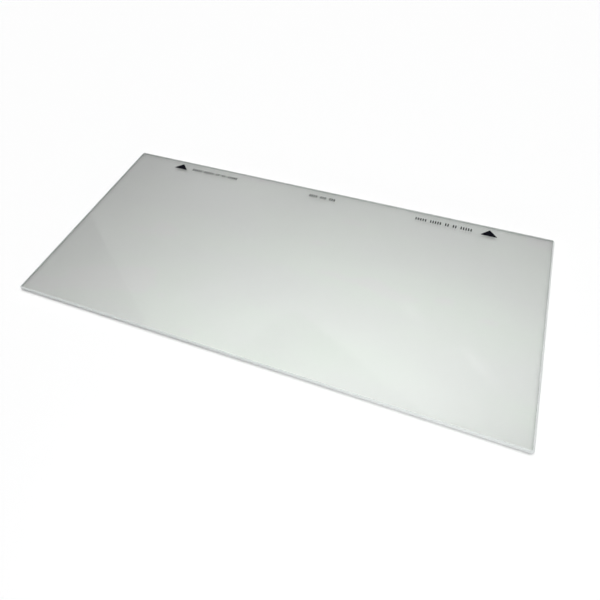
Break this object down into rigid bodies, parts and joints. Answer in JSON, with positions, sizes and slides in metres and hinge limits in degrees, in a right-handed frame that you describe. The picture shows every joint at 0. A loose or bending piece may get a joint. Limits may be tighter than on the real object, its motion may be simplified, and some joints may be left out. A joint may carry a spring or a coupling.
{
  "type": "oven door inner glass",
  "caption": "Flat rectangular toughened glass pane with a ground pencil edge and printed insertion arrows, which slides into the side channels of an oven door.",
  "frame": {"origin": "middle of the underside of the pane, which lies flat", "axes": "+X along the long side, +Y to the marked edge that goes into the door first, +Z through the glass to the marked face"},
  "size_m": [0.5, 0.237, 0.004],
  "materials": {
    "glass": "toughened soda-lime float glass with a faint grey-green tint, polished faces, ground edges",
    "marking_ink": "screen-printed blue-black ceramic ink, fired on, satin"
  },
  "bodies": {
    "root": {"inner_glass": "glass"}
  },
  "joints": []
}
